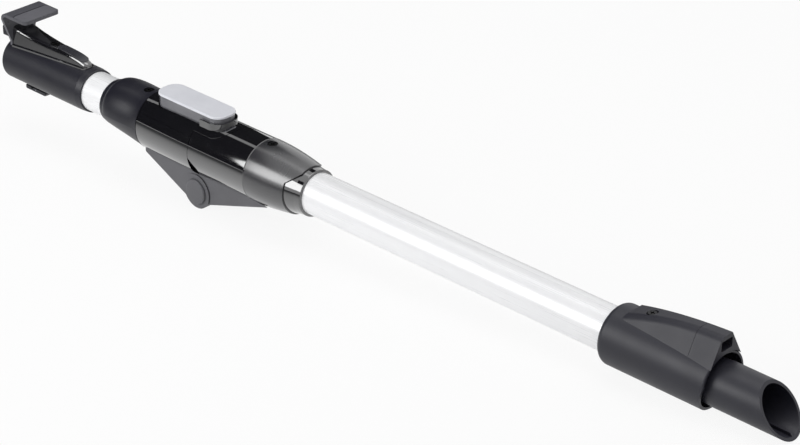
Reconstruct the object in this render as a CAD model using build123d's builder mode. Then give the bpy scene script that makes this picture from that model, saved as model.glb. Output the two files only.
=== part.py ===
from build123d import *
import os
from math import atan2, degrees, hypot, sqrt

os.makedirs("parts", exist_ok=True)

# Folding wand of a cordless vacuum. X runs along the wand from the middle of the upper socket's mouth
# to the slanted spigot, Z is up on the button side, and the fold axis lies along Y. Millimetres.

# Tubes and the air way
tube_r = 16.0
tube_wall = 1.0
duct_r = 14.2
glue_gap = 0.05
part_gap = 0.2
run_gap = 0.4
fold_gap = 0.4

# Upper socket sleeve
sleeve_r = 18.0
sleeve_length = 96.5
sleeve_rim_fillet = 0.5
sleeve_rim_r = 17.4
sleeve_rim_length = 6.0
sleeve_mouth_fillet = 1.0
socket_r = 16.4
socket_depth = 45.0
seal_length = 3.0
seal_groove = 0.6
seal_lip = 0.8
socket_stop = 6.0

# Release tab under the sleeve, a rocker on a pin
tab_start = 12.6
tab_length = 25.4
tab_half = 6.0
tab_thick = 2.6
tab_standoff = 1.5
tab_pin_x = 25.0
tab_pin_r = 0.7
tab_pin_fit = 0.05
tab_lug_half = 2.4
tab_lug_length = 6.0
tab_corner = 1.2
tab_notch = 1.6
tab_rib_pitch = 2.4
tab_rib_height = 0.5
tab_rib_count = 3
catch_x = 16.2
catch_length = 4.0
catch_half = 3.5
catch_setback = 0.2
leaf_thick = 0.3
leaf_half = 2.0
leaf_length = 6.4

# Rest hook
hook_back = 3.1
hook_length = 30.6
hook_half = 17.7
hook_top = 44.1
hook_thick = 2.6
hook_lean = 0.03
hook_fold = 4.0
hook_corner = 4.0
hook_foot_half = 11.0
hook_taper_top = 38.0
pad_start = 16.2
pad_margin = 0.7
pad_thick = 1.0
pad_proud = 0.2
pad_corner = 3.0

# Gloss hump over the upper wiring
hump_root_half = 11.0
hump_tip_half = 5.2
hump_root_x = 3.0
hump_tip_x = 90.0
hump_draft = 6.0
hump_base = 13.0
hump_root_top = 30.4
hump_saddle = (20.0, 27.8)
hump_waist = (34.0, 26.3)
hump_crown = (60.0, 25.2)
hump_brow = (84.5, 22.5)
hump_nose_top = 20.4
hump_round = 3.4
bead_proud = 1.1
bead_width = 1.0
inlay_start = 53.0
inlay_length = 33.0
inlay_width = 8.4
inlay_thick = 1.0
inlay_proud = 0.3
inlay_gap = 0.15

# Electrical plug beside the socket
plug_reach = 8.0
plug_depth = 14.0
plug_half = 8.5
plug_floor = 18.4
plug_top = 27.0
plug_wall = 1.6
plug_recess = 9.5
plug_corner = 1.5
pin_r = 0.9
pin_pitch = 4.6
pin_reach = 4.5

# Screws
screw_head_r = 3.2
screw_head_height = 2.0
screw_shank_r = 1.6
screw_length = 5.0
screw_recess_r = 4.0
screw_recess_depth = 2.6
screw_cross = 0.9
screw_cross_span = 3.6
screw_cross_depth = 1.1
screw_hole_gap = 0.1
cover_screw_x = 48.0
nose_screw_x = 159.5
collar_screw_x = 296.0
connector_screw_x = 649.0

# Hinge nose
nose_start = 119.8
nose_end = 168.5
nose_mouth_r = 17.4
nose_lip = (124.2, 18.3)
nose_brow = (127.6, 20.9)
nose_cheek = (133.0, 22.2)
nose_bridge = (150.0, 22.6)
nose_throat = (142.0, 20.2)
nose_jaw = (157.0, 21.8)
nose_end_r = 23.3
nose_cavity_end = 160.0
nose_grip_length = 15.0
nose_wall = 2.2
lip_length = 3.5
lip_wall = 1.6
nose_parting = -1.0
stub_end = 150.0

# Gloss barrels either side of the fold
barrel_r = 24.5
barrel_wall = 2.5
barrel_swell_x = 205.0
fold_x = 228.5
barrel_end = 289.0
barrel_parting = 13.5
seam_bevel = 0.5
bezel_start = 231.0
bezel_wall = 1.5
bezel_top = 26.2
bezel_foot = 20.0
tongue_half = 17.0
tongue_straight = 243.0
tongue_tip = 262.0
slot_top = (223.6, -3.8)
slot_foot = (232.4, -11.9)
slot_half = 4.6

# Knee and fold axis under the barrels
axis_x = 230.5
axis_z = -32.0
boss_r = 13.8
boss_gap = 0.4
knee_half = 17.5
ear_half = 18.5
knuckle_half = 10.0
knuckle_gap = 0.3
upper_knee_start = (172.8, -20.3)
upper_knee_foot = (224.8, -44.6)
lower_knee_foot = (240.0, -41.0)
lower_knee_end = (305.0, -19.2)
knee_round = 2.0
hinge_pin_r = 3.0
pin_fit = 0.03
bush_r = 5.0
cap_r = 10.2
cap_thick = 1.8
cap_fillet = 1.3

# Lock button
button_start = 178.0
button_length = 72.0
button_half = 11.5
button_corner = 9.5
button_top = 31.5
cap_height = 1.7
cap_overhang = 0.6
cap_edge = 0.8
frame_wall = 2.0
frame_foot = 20.4
tray_top = 17.0
tray_thick = 1.0
tray_start = 174.0
spring_r = 3.0
spring_wire = 0.8
spring_turns = 4.5
spring_xs = (188.0, 224.0)
spring_peg_r = 1.8
spring_peg_height = 2.5
hook_arm_floor = 17.8
hook_arm_thick = 1.4
hook_arm_half = 5.0
hook_post_gap = 1.4
hook_post_length = 8.0
keeper_start = 262.9
keeper_length = 1.4
keeper_half = 5.5
keeper_floor = 19.6
tooth_length = 1.2
tooth_height = 1.6
catch_gap = 0.3

# Corrugated hose through the fold
hose_r = 14.4
hose_groove = 1.3
hose_bore_r = 12.4
hose_rings = 16
hose_end_length = 8.0
cuff_wall = 1.6
cuff_plug_length = 12.0
cuff_flange = 2.0

# Collar at the top of the long tube
lower_tube_start = 300.0
collar_shoulder = (310.0, 23.4)
collar_waist = (324.0, 21.6)
collar_end = 336.0
collar_end_r = 19.5
swoop_x = 327.0
swoop_low = 10.0
swoop_high = 17.0
ring_start = 318.0
ring_end = 342.0
ring_end_r = 18.0
ring_inset = 1.0
ring_round = 0.8

# Lower connector
lower_tube_end = 660.0
connector_start = 620.0
connector_end = 707.5
connector_r = 21.8
connector_fillet = 4.5
connector_stop = 2.0
skirt_depth = 15.0
connector_heel = 701.0
connector_lobe = 712.0
skirt_r = 19.8
saddle_start = 629.0
saddle_start_half = 13.0
saddle_end = 708.5
saddle_end_half = 16.3
saddle_draft = 28.0
saddle_base = 14.0
saddle_toe = (639.0, 23.9)
saddle_back = (651.0, 27.1)
saddle_crown = (689.0, 33.4)
saddle_end_top = 34.7
saddle_edge = 7.0
shroud_seam = 689.0
shroud_mouth_half = 5.6
shroud_mouth_floor = 24.2
shroud_mouth_top = 31.4
shroud_mouth_depth = 15.0
shroud_mouth_corner = 1.2
contact_block_length = 6.0
contact_r = 0.9
contact_pitch = 3.4
contact_reach = 5.0

# Slant-cut spigot
spigot_r = 16.3
spigot_root_r = 16.0
spigot_wall = 2.0
spigot_drop = 1.5
spigot_tip = 764.5
slant_rise = 739.0
spigot_rib_half = 0.8
spigot_rib_height = 2.2
spigot_rib_length = 40.0

# Worked-out places
tube_in_r = tube_r - tube_wall
seat_r = tube_r + glue_gap
seal_end = socket_depth + seal_length
stop_end = seal_end + socket_stop
barrel_in_r = barrel_r - barrel_wall
lip_r = nose_end_r - nose_wall - glue_gap
tab_end = tab_start + tab_length
tab_top = -(sleeve_r + tab_standoff)
tab_floor = tab_top - tab_thick
tab_pin_z = (tab_top + tab_floor) / 2
tab_slot_half = tab_lug_length / 2 + 3 * run_gap
hook_end = hook_back + hook_length
hook_slant = hook_thick * sqrt(1 + hook_lean ** 2)
hump_tip_mid = hump_tip_x - hump_tip_half
plug_mid = (plug_floor + plug_top) / 2
pad_length = hook_end - pad_margin - pad_start
pad_mid = pad_start + pad_length / 2
pad_half = hook_half - pad_margin
pad_floor = hook_top + pad_proud - pad_thick
inlay_mid = inlay_start + inlay_length / 2
button_mid = button_start + button_length / 2
hook_post_end = button_start + button_length - cap_overhang - frame_wall - hook_post_gap
hook_post_start = hook_post_end - hook_post_length
cap_floor = button_top - cap_height
frame_half = button_half - cap_overhang
hook_arm_top = hook_arm_floor + hook_arm_thick
tooth_start = keeper_start + keeper_length + catch_gap
tooth_end = tooth_start + tooth_length
tray_end = hook_post_start - 2 * run_gap
lower_start = fold_x + fold_gap
hose_start = stub_end + cuff_flange
hose_end = lower_tube_start - cuff_flange
stop_start = lower_tube_end + part_gap
spigot_start = stop_start + connector_stop
skirt_start = connector_end - skirt_depth
collar_wall_r = (collar_waist[1] + collar_shoulder[1]) / 2 - ring_inset
cover_screw_z = hump_waist[1] - 0.6
nose_screw_z = nose_end_r - 0.3
collar_screw_z = barrel_r - 0.2
connector_screw_z = saddle_back[1]
far = 900.0


def hook_outer(z):
    return hook_back + (hook_top - z) * hook_lean


def hook_inner(z):
    return hook_outer(z) + hook_slant


def hump_ridge(lift=0.0):
    ridge = [(hook_inner(hump_root_top), hump_root_top), hump_saddle, hump_waist, hump_crown, hump_brow,
             (hump_tip_x, hump_nose_top)]
    return [(x, z + lift) for x, z in ridge]


# Solid turned about the wand's axis from (x, radius) points
def turn(points, mode=Mode.ADD):
    with BuildSketch(Plane.XZ) as outline:
        with BuildLine():
            Polyline(*points, close=True)
        make_face()
    revolve(outline.sketch, axis=Axis.X, mode=mode)


# The same with one smooth curve for its outside and straight runs for its inside
def turn_curved(outside, inside, mode=Mode.ADD):
    with BuildSketch(Plane.XZ) as outline:
        with BuildLine():
            curve = Spline(*outside)
            Polyline(curve @ 1, *inside, curve @ 0)
        make_face()
    revolve(outline.sketch, axis=Axis.X, mode=mode)


# Side outline of (x, z) points, as wide on both sides of the middle plane
def slab(points, half, mode=Mode.ADD):
    with BuildSketch(Plane.XZ) as outline:
        with BuildLine():
            Polyline(*points, close=True)
        make_face()
    extrude(outline.sketch, amount=half, both=True, mode=mode)


def block(x_from, x_to, half, z_from, z_to, mode=Mode.ADD):
    slab([(x_from, z_from), (x_to, z_from), (x_to, z_to), (x_from, z_to)], half, mode)


# Band between two ridge lines of the upper hump
def ridge_band(low_lift, high_lift, half, mode=Mode.ADD):
    with BuildSketch(Plane.XZ) as outline:
        with BuildLine():
            low = Spline(*hump_ridge(low_lift))
            high = Spline(*hump_ridge(high_lift))
            Line(low @ 0, high @ 0)
            Line(low @ 1, high @ 1)
        make_face()
    extrude(outline.sketch, amount=half, both=True, mode=mode)


# Round bar along Y
def cross_rod(x, z, radius, y_from, y_to, mode=Mode.ADD):
    with BuildSketch(Plane.XZ.offset(-y_from)) as disc:
        with Locations((x, z)):
            Circle(radius)
    extrude(disc.sketch, amount=y_from - y_to, mode=mode)


# Round bar along the wand
def axial_rod(y, z, radius, x_from, x_to, mode=Mode.ADD):
    with BuildSketch(Plane.YZ.offset(x_from)) as disc:
        with Locations((y, z)):
            Circle(radius)
    extrude(disc.sketch, amount=x_to - x_from, mode=mode)


# Round peg or hole along Z on the middle plane
def upright_rod(x, radius, z_from, z_to, mode=Mode.ADD):
    with BuildSketch(Plane.XY.offset(z_from)) as disc:
        with Locations((x, 0)):
            Circle(radius)
    extrude(disc.sketch, amount=z_to - z_from, mode=mode)


# Upright prism with a rounded plan
def pill(mid_x, length, half, corner, z_from, z_to, mode=Mode.ADD):
    with BuildSketch(Plane.XY.offset(z_from)) as plan:
        with Locations((mid_x, 0)):
            RectangleRounded(length, 2 * half, corner)
    extrude(plan.sketch, amount=z_to - z_from, mode=mode)


# Tapering plan with a rounded tip, as the upper hump and its bead have
def hump_plan(margin, z_from, height, draft, mode=Mode.ADD):
    with BuildSketch(Plane.XY.offset(z_from)) as plan:
        with BuildLine():
            root = hump_root_half + margin
            tip = hump_tip_half + margin
            Polyline((hump_tip_mid, tip), (hump_root_x, root), (hump_root_x, -root), (hump_tip_mid, -tip))
            ThreePointArc((hump_tip_mid, -tip), (hump_tip_x + margin, 0), (hump_tip_mid, tip))
        make_face()
    extrude(plan.sketch, amount=height, taper=draft, mode=mode)


# Sunk seat and hole of a screw driven down through a face at this height
def screw_seat(x, face_z):
    seat_z = face_z - screw_recess_depth
    upright_rod(x, screw_recess_r, seat_z, face_z + screw_recess_depth, Mode.SUBTRACT)
    upright_rod(x, screw_shank_r + screw_hole_gap, seat_z - screw_length - 1, seat_z, Mode.SUBTRACT)


# Pan-head screw with a cross slot
def screw(x, face_z):
    seat_z = face_z - screw_recess_depth
    top_z = seat_z + screw_head_height
    upright_rod(x, screw_head_r, seat_z, top_z)
    upright_rod(x, screw_shank_r, seat_z - screw_length, seat_z)
    with BuildSketch(Plane.XY.offset(top_z - screw_cross_depth)) as cross:
        with Locations((x, 0)):
            Rectangle(screw_cross_span, screw_cross)
            Rectangle(screw_cross, screw_cross_span)
    extrude(cross.sketch, amount=screw_cross_depth, mode=Mode.SUBTRACT)


# Round window about the fold axis for the knuckles
def knuckle_window():
    half = ear_half + boss_gap
    cross_rod(axis_x, axis_z, boss_r + boss_gap, -half, half, Mode.SUBTRACT)


# Slanted oval slot through both flanks at the fold
def relief_slots():
    run_x = slot_foot[0] - slot_top[0]
    run_z = slot_foot[1] - slot_top[1]
    with BuildSketch(Plane.XZ) as slot_face:
        with Locations((slot_top[0] + run_x / 2, slot_top[1] + run_z / 2)):
            SlotCenterToCenter(hypot(run_x, run_z), 2 * slot_half, rotation=degrees(atan2(run_z, run_x)))
    extrude(slot_face.sketch, amount=barrel_r + 1, both=True, mode=Mode.SUBTRACT)


# Plan of the tongue that carries the button across the fold
def tongue_plan(margin):
    with BuildSketch(Plane.XY) as plan:
        with BuildLine():
            half = tongue_half + margin
            Polyline((tongue_straight, half), (nose_end, half), (nose_end, -half), (tongue_straight, -half))
            ThreePointArc((tongue_straight, -half), (tongue_tip + margin, 0), (tongue_straight, half))
        make_face()
    return plan.sketch


# Upper barrel, swelling from the nose to the fold and straight beyond it, hollow or as a solid core
def upper_barrel(hollow, mode=Mode.ADD):
    barrel_start = nose_end + part_gap
    reach = tongue_tip + 1
    rim = (barrel_start, nose_end_r - seam_bevel)
    swell = [(barrel_start + seam_bevel, nose_end_r), (barrel_swell_x, barrel_r - part_gap / 2), (fold_x, barrel_r)]
    if hollow:
        inside = [(reach, barrel_in_r), (barrel_swell_x, barrel_in_r), (barrel_start, nose_end_r - nose_wall), rim]
    else:
        inside = [(reach, 0), (barrel_start, 0), rim]
    turn_curved(swell, [(reach, barrel_r)] + inside, mode)


def write(piece, name):
    piece.part.label = name
    export_step(piece.part, f"parts/{name}.step")


# Upper socket sleeve, with the window of the catch and the lug of the release tab
with BuildPart() as upper_sleeve:
    turn([
        (0, socket_r), (0, sleeve_r), (sleeve_length - sleeve_rim_length, sleeve_r), (sleeve_length, sleeve_rim_r),
        (sleeve_length, seat_r),
        (stop_end, seat_r), (stop_end, duct_r), (seal_end, duct_r), (seal_end, socket_r + seal_groove),
        (socket_depth, socket_r + seal_groove), (socket_depth, socket_r),
    ])
    ends = upper_sleeve.edges().filter_by(GeomType.CIRCLE).group_by(Axis.X)
    fillet(ends[-1].sort_by(SortBy.RADIUS)[-1], sleeve_rim_fillet)
    fillet(ends[0].sort_by(SortBy.RADIUS)[-1], sleeve_mouth_fillet)
    lug_half_length = tab_lug_length / 2
    lug_floor = tab_pin_z - 2 * tab_pin_r
    lug_root = -(socket_r + sleeve_r) / 2
    block(tab_pin_x - lug_half_length, tab_pin_x + lug_half_length, tab_lug_half, lug_floor, lug_root)
    cross_rod(tab_pin_x, tab_pin_z, tab_pin_r + tab_pin_fit, -tab_half, tab_half, Mode.SUBTRACT)
    with BuildSketch(Plane.XY.offset(-sleeve_r - 1)):
        with Locations((catch_x, 0)):
            Rectangle(catch_length + 2 * run_gap, 2 * (catch_half + run_gap))
    extrude(amount=sleeve_r - socket_r + 2, mode=Mode.SUBTRACT)
write(upper_sleeve, "upper_sleeve")

with BuildPart() as socket_seal:
    seal_start = socket_depth + part_gap
    seal_r = socket_r + seal_groove - glue_gap
    turn([
        (seal_start, seal_r), (seal_end, seal_r), (seal_end, duct_r), (seal_end - seal_length / 2, duct_r),
        (seal_start, socket_r - seal_lip),
    ])
write(socket_seal, "socket_seal")

# Short aluminium stub
with BuildPart() as upper_tube:
    turn([(stop_end, tube_in_r), (stop_end, tube_r), (stub_end, tube_r), (stub_end, tube_in_r)])
write(upper_tube, "upper_tube")

# Release tab: a rocker with a ribbed press pad at one end and the catch at the other
with BuildPart() as release_tab:
    block(tab_start, tab_end, tab_half, tab_floor, tab_top)
    chamfer(release_tab.edges().filter_by(Axis.Y).group_by(Axis.Z)[0], tab_thick / 2)
    fillet(release_tab.edges().filter_by(Axis.Z), tab_corner)
    block(tab_pin_x - tab_slot_half, tab_pin_x + tab_slot_half, tab_lug_half + run_gap, tab_floor - 1, tab_top + 1,
          Mode.SUBTRACT)
    notch_x = tab_pin_x - tab_slot_half - tab_notch / 2
    block(notch_x, notch_x + tab_notch, tab_half + 1, tab_top - tab_thick / 2, tab_top + 1, Mode.SUBTRACT)
    block(catch_x - catch_length / 2, catch_x + catch_length / 2, catch_half, tab_top, -(socket_r + catch_setback))
    cross_rod(tab_pin_x, tab_pin_z, tab_pin_r + tab_pin_fit, -tab_half - 1, tab_half + 1, Mode.SUBTRACT)
    for index in range(tab_rib_count):
        rib_x = tab_pin_x + tab_slot_half + tab_rib_pitch / 2 + index * tab_rib_pitch
        block(rib_x, rib_x + tab_rib_pitch / 2, tab_half - tab_corner, tab_floor - tab_rib_height, tab_floor)
write(release_tab, "release_tab")

with BuildPart() as release_pin:
    cross_rod(tab_pin_x, tab_pin_z, tab_pin_r, part_gap - tab_half, tab_half - part_gap)
write(release_pin, "release_pin")

with BuildPart() as release_spring:
    leaf_start = tab_pin_x + tab_slot_half + tab_rib_pitch / 2
    leaf_foot = tab_top + leaf_thick / 2 + glue_gap
    leaf_crown = -(sleeve_r + leaf_thick / 2 + glue_gap)
    with BuildSketch(Plane.XZ):
        with BuildLine():
            ThreePointArc((leaf_start, leaf_foot), (leaf_start + leaf_length / 2, leaf_crown),
                          (leaf_start + leaf_length, leaf_foot))
        trace(line_width=leaf_thick)
    extrude(amount=leaf_half, both=True)
write(release_spring, "release_spring")

# Rest hook: a leaning upright folded over into a flat plate
with BuildPart() as rest_hook:
    plate_mid = hook_top - hook_thick / 2
    foot_z = sqrt(sleeve_r ** 2 - hook_foot_half ** 2) - hook_thick
    with BuildSketch(Plane.XZ):
        with BuildLine():
            FilletPolyline((hook_end, plate_mid), (hook_outer(plate_mid) + hook_slant / 2, plate_mid),
                           (hook_outer(foot_z) + hook_slant / 2, foot_z), radius=hook_fold)
        trace(line_width=hook_thick)
    extrude(amount=hook_half, both=True)
    fillet(rest_hook.edges().filter_by(Axis.Z).group_by(Axis.X)[-1], hook_corner)
    with BuildSketch(Plane.YZ):
        with BuildLine():
            Polyline((hook_foot_half, 0), (hook_foot_half, sleeve_r), (hook_half, hook_taper_top),
                     (hook_half + 1, hook_taper_top), (hook_half + 1, 0), close=True)
        make_face()
        mirror(about=Plane.YZ)
    extrude(amount=hook_end, mode=Mode.SUBTRACT)
    turn([(-plug_reach, 0), (-plug_reach, sleeve_r), (sleeve_length, sleeve_r), (sleeve_length, 0)], Mode.SUBTRACT)
    block(-plug_reach, hook_end, plug_half + part_gap, 0, plug_top + part_gap, Mode.SUBTRACT)
    pill(pad_mid, pad_length, pad_half, pad_corner, pad_floor, hook_top + 1, Mode.SUBTRACT)
write(rest_hook, "rest_hook")

with BuildPart() as hook_pad:
    pill(pad_mid, pad_length - 2 * part_gap, pad_half - part_gap, pad_corner - part_gap, pad_floor,
         hook_top + pad_proud)
    fillet(hook_pad.faces().sort_by(Axis.Z)[-1].edges(), pad_proud)
write(hook_pad, "hook_pad")

# Inlay of the hump, bent to its ridge, and the pocket that holds it
with BuildPart() as cover_inlay:
    ridge_band(inlay_proud - inlay_thick, inlay_proud, inlay_width)
    pill(inlay_mid, inlay_length - 2 * inlay_gap, inlay_width / 2 - inlay_gap, inlay_width / 2 - 2 * inlay_gap,
         0, hook_top, Mode.INTERSECT)
write(cover_inlay, "cover_inlay")

with BuildPart() as inlay_pocket:
    ridge_band(inlay_proud - inlay_thick, inlay_thick, inlay_width)
    pill(inlay_mid, inlay_length, inlay_width / 2, inlay_width / 2 - inlay_gap, 0, hook_top, Mode.INTERSECT)

# Bead where the hump meets the sleeve
with BuildPart() as hump_bead:
    hump_plan(bead_width, 0, sleeve_r + bead_proud, 0)
    turn([(0, 0), (0, sleeve_r + bead_proud), (sleeve_length, sleeve_r + bead_proud), (sleeve_length, 0)],
         Mode.INTERSECT)
    slab([(0, 0), (hook_inner(0), 0), (hook_inner(hook_top), hook_top), (0, hook_top)], hook_half, Mode.SUBTRACT)

# Gloss hump, a drafted plan trimmed to its ridge line and hollowed for the plug
with BuildPart() as upper_cover:
    hump_plan(0, hump_base, hump_root_top, hump_draft)
    with BuildSketch(Plane.XZ):
        with BuildLine():
            ridge_line = Spline(*hump_ridge())
            Polyline(ridge_line @ 1, (hump_tip_x, 0), (hook_inner(0), 0), ridge_line @ 0)
        make_face()
    extrude(amount=hook_half, both=True, mode=Mode.INTERSECT)
    ridge_face = upper_cover.faces().sort_by(Axis.Z)[-1]
    fillet(ridge_face.edges().sort_by(Axis.X)[1:], hump_round)
    add(hump_bead.part)
    turn([(0, 0), (0, sleeve_r), (sleeve_length, sleeve_r), (sleeve_length, 0)], Mode.SUBTRACT)
    block(0, plug_depth + part_gap, plug_half + part_gap, 0, plug_top + part_gap, Mode.SUBTRACT)
    screw_seat(cover_screw_x, cover_screw_z)
    add(inlay_pocket.part, mode=Mode.SUBTRACT)
write(upper_cover, "upper_cover")

# Electrical plug beside the socket
with BuildPart() as plug_housing:
    plug_height = plug_top - plug_floor
    with BuildSketch(Plane.YZ.offset(-plug_reach)):
        with Locations((0, plug_mid)):
            RectangleRounded(2 * plug_half, plug_height, plug_corner)
    extrude(amount=plug_reach + plug_depth)
    with BuildSketch(Plane.YZ.offset(-plug_reach)):
        with Locations((0, plug_mid)):
            RectangleRounded(2 * (plug_half - plug_wall), plug_height - 2 * plug_wall, plug_corner / 2)
    extrude(amount=plug_recess, mode=Mode.SUBTRACT)
write(plug_housing, "plug_housing")

with BuildPart() as plug_pins:
    pin_root = plug_recess - plug_reach
    for index in (-1, 0, 1):
        axial_rod(index * pin_pitch, plug_mid, pin_r, pin_root - pin_reach, pin_root)
write(plug_pins, "plug_pins")

# Hinge nose, parted along the wand, with a lip inside the barrel
nose_outside = [nose_lip, nose_brow, nose_cheek, nose_bridge, (nose_end, nose_end_r)]
nose_grip_end = nose_start + nose_grip_length
nose_inside = [
    (nose_end, lip_r), (nose_end + lip_length, lip_r), (nose_end + lip_length, lip_r - lip_wall),
    (nose_grip_end, lip_r - lip_wall), (nose_grip_end, seat_r), (nose_start, seat_r), (nose_start, nose_mouth_r),
]
nose_under = [nose_lip, nose_throat, nose_jaw, (nose_end, nose_end_r)]
nose_cavity_r = tube_r + cuff_wall + run_gap
nose_under_inside = nose_inside[:3] + [
    (nose_cavity_end, lip_r - lip_wall), (nose_cavity_end, nose_cavity_r), (nose_grip_end, nose_cavity_r),
] + nose_inside[4:]
with BuildPart() as nose_top:
    turn_curved(nose_outside, nose_inside)
    split(bisect_by=Plane.XY.offset(nose_parting), keep=Keep.TOP)
    upright_rod(nose_screw_x, screw_recess_r + 1, hose_r + 1, lip_r)
    screw_seat(nose_screw_x, nose_screw_z)
write(nose_top, "nose_top")

with BuildPart() as nose_bottom:
    turn_curved(nose_under, nose_under_inside)
    split(bisect_by=Plane.XY.offset(nose_parting), keep=Keep.BOTTOM)
write(nose_bottom, "nose_bottom")

# Upper gloss barrel: its top reaches over the fold as the tongue round the button
tongue_face = tongue_plan(0)
tongue_space = tongue_plan(fold_gap)
with BuildPart() as button_bezel:
    pill(button_mid, button_length + 2 * bezel_wall, button_half + bezel_wall, button_corner + bezel_wall, bezel_foot,
         bezel_top)
    split(bisect_by=Plane.YZ.offset(bezel_start), keep=Keep.TOP)

with BuildPart() as barrel_top:
    upper_barrel(hollow=True)
    split(bisect_by=Plane.XY.offset(barrel_parting + part_gap / 2), keep=Keep.TOP)
    with BuildSketch(Plane.XY):
        with Locations(((fold_x + tongue_tip) / 2 + 5, 0)):
            Rectangle(tongue_tip - fold_x + 10, 2 * barrel_r)
        add(tongue_face, mode=Mode.SUBTRACT)
    extrude(amount=barrel_r + 1, mode=Mode.SUBTRACT)
    add(button_bezel.part)
    pill(button_mid, button_length + 2 * run_gap, button_half + run_gap, button_corner + run_gap, 0, button_top,
         Mode.SUBTRACT)
write(barrel_top, "barrel_top")

with BuildPart() as barrel_bottom:
    upper_barrel(hollow=True)
    split(bisect_by=Plane.XY.offset(barrel_parting - part_gap / 2), keep=Keep.BOTTOM)
    split(bisect_by=Plane.YZ.offset(fold_x), keep=Keep.BOTTOM)
    knuckle_window()
    relief_slots()
write(barrel_bottom, "barrel_bottom")

with BuildPart() as lower_barrel:
    turn([(lower_start, barrel_in_r), (lower_start, barrel_r), (barrel_end - seam_bevel, barrel_r),
          (barrel_end, barrel_r - seam_bevel), (barrel_end, barrel_in_r)])
    extrude(tongue_space, amount=barrel_r + 1, mode=Mode.SUBTRACT)
    knuckle_window()
    relief_slots()
write(lower_barrel, "lower_barrel")

# Knees under the barrels: the upper one ends in two ears, the lower one in the knuckle between them
knee_top = -barrel_r / 2


def round_underside(knee):
    slanted = knee.edges().filter_by(lambda edge: edge.length > 2 * boss_r and abs(edge.tangent_at(0.5).Z) > 0.1)
    fillet(slanted, knee_round)


with BuildPart() as upper_knee:
    slab([upper_knee_start, upper_knee_foot, (axis_x, axis_z), (axis_x, knee_top), (upper_knee_start[0], knee_top)],
         knee_half)
    round_underside(upper_knee)
    upper_barrel(hollow=False, mode=Mode.SUBTRACT)
    ear_inner = knuckle_half + knuckle_gap
    cross_rod(axis_x, axis_z, boss_r + boss_gap, -ear_inner, ear_inner, Mode.SUBTRACT)
    cross_rod(axis_x, axis_z, boss_r, ear_inner, ear_half)
    cross_rod(axis_x, axis_z, boss_r, -ear_half, -ear_inner)
    cross_rod(axis_x, axis_z, hinge_pin_r + glue_gap, -ear_half, ear_half, Mode.SUBTRACT)
write(upper_knee, "upper_knee")

with BuildPart() as lower_knee:
    slab([lower_knee_end, lower_knee_foot, (axis_x, axis_z), (axis_x, knee_top), (lower_knee_end[0], knee_top)],
         knee_half)
    round_underside(lower_knee)
    turn([(0, 0), (0, barrel_r), (far, barrel_r), (far, 0)], Mode.SUBTRACT)
    cross_rod(axis_x, axis_z, boss_r + boss_gap, knuckle_half, ear_half, Mode.SUBTRACT)
    cross_rod(axis_x, axis_z, boss_r + boss_gap, -ear_half, -knuckle_half, Mode.SUBTRACT)
    cross_rod(axis_x, axis_z, boss_r, -knuckle_half, knuckle_half)
    cross_rod(axis_x, axis_z, bush_r + glue_gap, -ear_half, ear_half, Mode.SUBTRACT)
write(lower_knee, "lower_knee")

with BuildPart() as hinge_pin:
    cross_rod(axis_x, axis_z, hinge_pin_r, -ear_half, ear_half)
write(hinge_pin, "hinge_pin")

with BuildPart() as hinge_bush:
    cross_rod(axis_x, axis_z, bush_r, -knuckle_half, knuckle_half)
    cross_rod(axis_x, axis_z, hinge_pin_r + pin_fit, -knuckle_half, knuckle_half, Mode.SUBTRACT)
write(hinge_bush, "hinge_bush")

with BuildPart() as hinge_cap_near:
    cross_rod(axis_x, axis_z, cap_r, -ear_half - cap_thick, -ear_half)
    fillet(hinge_cap_near.faces().sort_by(Axis.Y)[0].edges(), cap_fillet)
write(hinge_cap_near, "hinge_cap_near")

with BuildPart() as hinge_cap_far:
    cross_rod(axis_x, axis_z, cap_r, ear_half, ear_half + cap_thick)
    fillet(hinge_cap_far.faces().sort_by(Axis.Y)[-1].edges(), cap_fillet)
write(hinge_cap_far, "hinge_cap_far")

# Lock button: a pale cap on a dark frame, with the latch hook under its lower end
with BuildPart() as button_cap:
    pill(button_mid, button_length, button_half, button_corner, cap_floor, button_top)
    fillet(button_cap.faces().sort_by(Axis.Z)[-1].edges(), cap_edge)
write(button_cap, "button_cap")

with BuildPart() as button_frame:
    frame_length = button_length - 2 * cap_overhang
    frame_corner = button_corner - cap_overhang
    pill(button_mid, frame_length, frame_half, frame_corner, frame_foot, cap_floor)
    pill(button_mid, frame_length - 2 * frame_wall, frame_half - frame_wall, frame_corner - frame_wall,
         frame_foot, cap_floor, Mode.SUBTRACT)
write(button_frame, "button_frame")

with BuildPart() as latch_hook:
    block(hook_post_start, hook_post_end, hook_arm_half, hook_arm_floor, cap_floor)
    block(hook_post_start, tooth_end, hook_arm_half, hook_arm_floor, hook_arm_top)
    slab([(tooth_start, hook_arm_top), (tooth_end, hook_arm_top), (tooth_end, hook_arm_top + tooth_height / 2),
          (tooth_start + tooth_length / 2, hook_arm_top + tooth_height), (tooth_start, hook_arm_top + tooth_height)],
         hook_arm_half)
write(latch_hook, "latch_hook")

with BuildPart() as latch_keeper:
    block(keeper_start, keeper_start + keeper_length, keeper_half, keeper_floor, barrel_r)
    turn([(0, 0), (0, barrel_in_r), (far, barrel_in_r), (far, 0)], Mode.INTERSECT)
write(latch_keeper, "latch_keeper")

# Tray across the upper barrel that carries the button's springs
with BuildPart() as button_tray:
    block(tray_start, tray_end, barrel_r, tray_top - tray_thick, tray_top)
    turn([(nose_end + part_gap, 0), (nose_end + part_gap, nose_end_r - nose_wall), (barrel_swell_x, barrel_in_r),
          (fold_x + barrel_r, barrel_in_r), (fold_x + barrel_r, 0)], Mode.INTERSECT)
    for spring_x in spring_xs:
        upright_rod(spring_x, spring_peg_r, tray_top, tray_top + spring_peg_height)
write(button_tray, "button_tray")

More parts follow.
